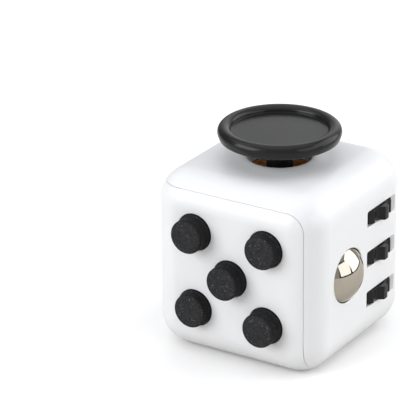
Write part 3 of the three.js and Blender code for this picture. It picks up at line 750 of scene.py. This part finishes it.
# ---------- flip ----------
def rocker():
    """The switch, drawn level and then tipped: crowned ends, a dished face and soft edges."""
    tilt = math.radians(9)
    half_w = 3.9
    steps = 12
    middle_y, end_rise, end_z = 17.25, 0.85, 5.65
    bore_r, bore_half = 0.87, 6
    top = [
        (z / steps * end_z, middle_y + end_rise * (abs(z) / steps) ** 2.2)
        for z in range(steps, -steps - 1, -1)
    ]
    keel = [
        (-5.9, 17.75), (-5.3, 14.4), (-2.6, 12.7), (-0.9, 11.75), (0, 11.6), (0.9, 11.75),
        (2.6, 12.7), (5.3, 14.4), (5.9, 17.75),
    ]
    radii = [0.35] + [0] * (len(top) - 2) + [0.35] + [0.3] * len(keel)
    outline = softened(top + keel, radii, 4, closed=True)
    place = (
        Matrix.Translation(CENTRE + Vector((0, PIVOT_Y * MM, 0))) @ Matrix.Rotation(-tilt, 4, "X")
        @ Matrix.Translation((0, -PIVOT_Y * MM, 0)) @ Matrix.Rotation(math.pi / 2, 4, "Y")
        @ Matrix.Scale(MM, 4)
    )
    outline = [(-z, y) for z, y in outline]
    body = lofted("flip_rocker_switch", [(-half_w, outline), (half_w, outline)], place)
    pin = (
        face_axes("back") @ Matrix.Translation((0, 0, PIVOT_Y - HALF_MM))
        @ Matrix.Rotation(math.pi / 2, 4, "Y")
    )
    bore = revolved("pin_bore", [
        (0, -bore_half), (bore_r, -bore_half), (bore_r, bore_half), (0, bore_half),
    ], pin, 32)
    combine(body, [bore], "DIFFERENCE")
    bevel(body, 0.3, 4, 50)
    smooth(body, 40)
    stand_for(body, "flip_rocker")


rocker()


# ---------- spin ----------
def dial():
    """A knurled disc with a raised rim and a finger dimple, on a shaft through the wall."""
    knurls, per_knurl = 30, 8
    count = knurls * per_knurl
    shaft_r, shaft_back, pilot_end = 2.5, -4.05, -0.95
    back, front = 0.15, 2.2

    def loop(radius, depth=0.0):
        """A circle drawn in by the depth between knurls."""
        out = []
        for k in range(count):
            a = 2 * math.pi * k / count
            r = radius - depth * (0.5 - 0.5 * math.cos(knurls * a)) ** 0.7
            out.append((r * math.cos(a), r * math.sin(a)))
        return out

    sections = [
        (pilot_end, loop(0.02)), (pilot_end, loop(PILOT_R)), (shaft_back, loop(PILOT_R)),
        (shaft_back, loop(shaft_r)), (back, loop(shaft_r)), (back, loop(8.3, 0.2)),
        (0.3, loop(8.52, 0.32)), (0.5, loop(8.6, 0.34)), (1.55, loop(8.6, 0.34)),
        (1.8, loop(8.5, 0.3)), (2.0, loop(8.35, 0.2)), (2.13, loop(8.18, 0.1)),
        (front, loop(7.95)), (front, loop(7.45)), (2.14, loop(7.2)), (1.95, loop(6.9)),
        (1.72, loop(6.6)), (1.58, loop(6.2)), (1.45, loop(4.5)), (1.3, loop(2)), (1.25, loop(0.05)),
    ]
    body = lofted("spin_dial_knob", sections, face_axes("left"))
    bm = bmesh.new()
    bmesh.ops.create_uvsphere(bm, u_segments=48, v_segments=24, radius=1)
    hollow = Matrix.Translation((4.1, 0, front)) @ Matrix.Diagonal((2.48, 2.48, 1.2, 1))
    combine(body, [new_object("dimple", bm, face_axes("left") @ hollow)], "DIFFERENCE")
    bevel(body, 0.12, 3, 30)
    smooth(body, 40)
    stand_for(body, "spin_dial")


dial()


# ---------- worry stone ----------
def worry_pad():
    """A shallow bowl that eases into a flat border, held by a flange behind the wall."""
    edge, border, depth, steps = 8.7, -0.15, 1.75, 24
    pad_r, flange_r, flange = 9.6, 10.4, (-2.85, -2.08)
    rounding = 0.2
    bowl = []
    for k in range(steps + 1):
        r = edge * (1 - k / steps)
        bowl.append((r, border - depth * math.cos(math.pi * r / (2 * edge)) ** 2))
    profile = [
        (0, -3.3), (6.5, flange[0]), (flange_r, flange[0]), (flange_r, flange[1]),
        (pad_r, flange[1]),
    ]
    profile += arc((pad_r - rounding, border - rounding), rounding, 0, 90, 5) + bowl
    pad = revolved("worry_pad_dish", profile, face_axes("bottom"), 128)
    smooth(pad, 40)
    stand_for(pad, "worry_pad")


worry_pad()


# ---------- domes and springs ----------
def sprung_pieces():
    """A smooth-shaded copy of each dome or spring that a joint deforms, with its finish and body, in
    place of its CAD node.
    """
    for joint in frame["record"]["behaviour"]["joints"]:
        for row in joint.get("deforming_nodes", []):
            name = row["node"]
            letter = row["mode"][-1]
            axis = "xyz".index(letter)
            anchor = Vector()
            anchor[axis] = row[f"fixed_end_{letter}_m"]
            piece = new_object(f"{name}_sprung", frame["nodes"][name].data.copy())
            smooth(piece, 40)
            stand_for(piece, name)
            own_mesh(piece)


sprung_pieces()


# ---------- CAD nodes that keep their shape ----------
def finish_cad():
    """Every node carried over from CAD gets its slot's material, and nothing else changes."""
    for name, obj in frame["nodes"].items():
        obj.data.materials.clear()
        obj.data.materials.append(FINISH[NODE_SLOT[name]])


finish_cad()


# ---------- stage ----------
def heading(azimuth, elevation):
    """Unit vector from degrees: azimuth from +X toward +Y, elevation from the floor."""
    a, e = math.radians(azimuth), math.radians(elevation)
    return Vector((math.cos(a) * math.cos(e), math.sin(a) * math.cos(e), math.sin(e)))


# the lamps: azimuths and elevations covered in degrees, and radiance
PANELS = {
    "right_front": ((-23, 16.5), (1, 40), 2.25),
    "right_back": ((21, 72), (0, 48), 2.75),
    "key": ((-145, -102), (5, 42), 4.6),
    "left_high": ((-180, -152), (36, 62), 1.2),
    "overhead": ((-30, 30), (60, 120), 0.82),
}
BACKDROP = 1.1
FLOOR_R = 320
FLOOR_THICK = 0.5
FLOOR_BOUNCE = (0.66, 0.64, 0.61)


def sky():
    """A dim tent, brighter behind the cube and nearly black in a zone round the right panels."""
    world = bpy.data.worlds.new("studio")
    world.use_nodes = True
    tree = world.node_tree
    background = tree.nodes["Background"]
    where = node(tree, "ShaderNodeTexCoord")

    def toward(direction, start, stop, low, high):
        dot = node(tree, "ShaderNodeVectorMath", operation="DOT_PRODUCT")
        tree.links.new(where.outputs["Generated"], dot.inputs[0])
        dot.inputs[1].default_value = direction
        made = node(tree, "ShaderNodeMapRange", interpolation_type="SMOOTHSTEP")
        for key, value in zip(("From Min", "From Max", "To Min", "To Max"), (start, stop, low, high)):
            made.inputs[key].default_value = value
        tree.links.new(dot.outputs["Value"], made.inputs["Value"])
        return made.outputs["Result"]

    def product(first, second):
        made = node(tree, "ShaderNodeMath", operation="MULTIPLY")
        tree.links.new(first, made.inputs[0])
        tree.links.new(second, made.inputs[1])
        return made.outputs[0]

    right_of_zone_start = toward(heading(62, 0), 0.0, 0.02, 0, 1)
    left_of_zone_end = toward(heading(-15, 0), 0.0, 0.02, 0, 1)
    below_zone_top = toward(heading(0, 90), 0.69, 0.71, 1, 0)
    zone = product(product(right_of_zone_start, left_of_zone_end), below_zone_top)
    outside = node(tree, "ShaderNodeMapRange")
    outside.inputs["To Min"].default_value = 1.0
    outside.inputs["To Max"].default_value = 0.12
    tree.links.new(zone, outside.inputs["Value"])
    strength = product(toward(heading(121, 24), 0.8, 0.97, 0.5, 1.3), outside.outputs["Result"])
    strength = product(toward(heading(165, 0), 0.5, 0.9, 1.0, 0.3), strength)
    seen = node(tree, "ShaderNodeLightPath").outputs["Is Camera Ray"]
    plain = node(tree, "ShaderNodeMix", data_type="FLOAT")
    tree.links.new(seen, plain.inputs[0])
    tree.links.new(strength, plain.inputs[2])
    plain.inputs[3].default_value = BACKDROP
    background.inputs["Color"].default_value = (0.98, 0.99, 1.0, 1)
    tree.links.new(plain.outputs[0], background.inputs["Strength"])
    bpy.context.scene.world = world


def panel(name, azimuths, elevations, radiance, distance=1.0):
    """A rectangular softbox that fills a stretch of azimuth and elevation seen from the cube."""
    middle = heading(sum(azimuths) / 2, sum(elevations) / 2)
    data = bpy.data.lights.new(name, "AREA")
    data.shape = "RECTANGLE"
    data.size, data.size_y = [
        2 * distance * math.tan(math.radians(high - low) / 2) for low, high in (azimuths, elevations)
    ]
    data.energy = radiance * math.pi * data.size * data.size_y
    lamp = bpy.data.objects.new(name, data)
    lamp.location = CENTRE + middle * distance
    lamp.rotation_euler = (-middle).to_track_quat("-Z", "Y").to_euler()
    lamp.visible_camera = False
    bpy.context.scene.collection.objects.link(lamp)


def stage():
    """The pale floor, which returns a little less light to the cube than it shows, and the lights."""
    floor = revolved("floor", [
        (0, -FLOOR_THICK), (FLOOR_R, -FLOOR_THICK), (FLOOR_R, 0.0), (0, 0.0),
    ], Matrix.Scale(MM, 4), RIM_STEPS)
    s = Surface("floor_paper", (0.95, 0.95, 0.955), 0.7)
    paper = s.vary_colour(per_mm=0.02, other=(0.94, 0.94, 0.945), amount=0.5)
    seen = node(s.tree, "ShaderNodeLightPath").outputs["Is Camera Ray"]
    s.link(s.blend(seen, FLOOR_BOUNCE, paper), s.shader.inputs["Base Color"])
    floor.data.materials.append(s.material)
    sky()
    for name, (azimuths, elevations, radiance) in PANELS.items():
        panel(name, azimuths, elevations, radiance)


stage()


# ---------- camera ----------
def camera():
    """The camera, at the angle and with the framing that the cube's outline was fitted to."""
    azimuth, elevation, distance = 31.09, 24.06, 0.4996
    a, e = math.radians(azimuth), math.radians(elevation)
    back = Vector((math.sin(a) * math.cos(e), -math.cos(a) * math.cos(e), math.sin(e)))
    data = bpy.data.cameras.new("camera")
    data.sensor_width = 36
    data.lens = 247.2
    data.shift_x = -0.1724
    data.shift_y = 0.088
    data.clip_start, data.clip_end = 0.01, 10
    cam = bpy.data.objects.new("camera", data)
    cam.location = CENTRE + back * distance
    cam.rotation_euler = (-back).to_track_quat("-Z", "Y").to_euler()
    bpy.context.scene.collection.objects.link(cam)
    bpy.context.scene.camera = cam
    bpy.context.scene.view_settings.view_transform = "Standard"


camera()
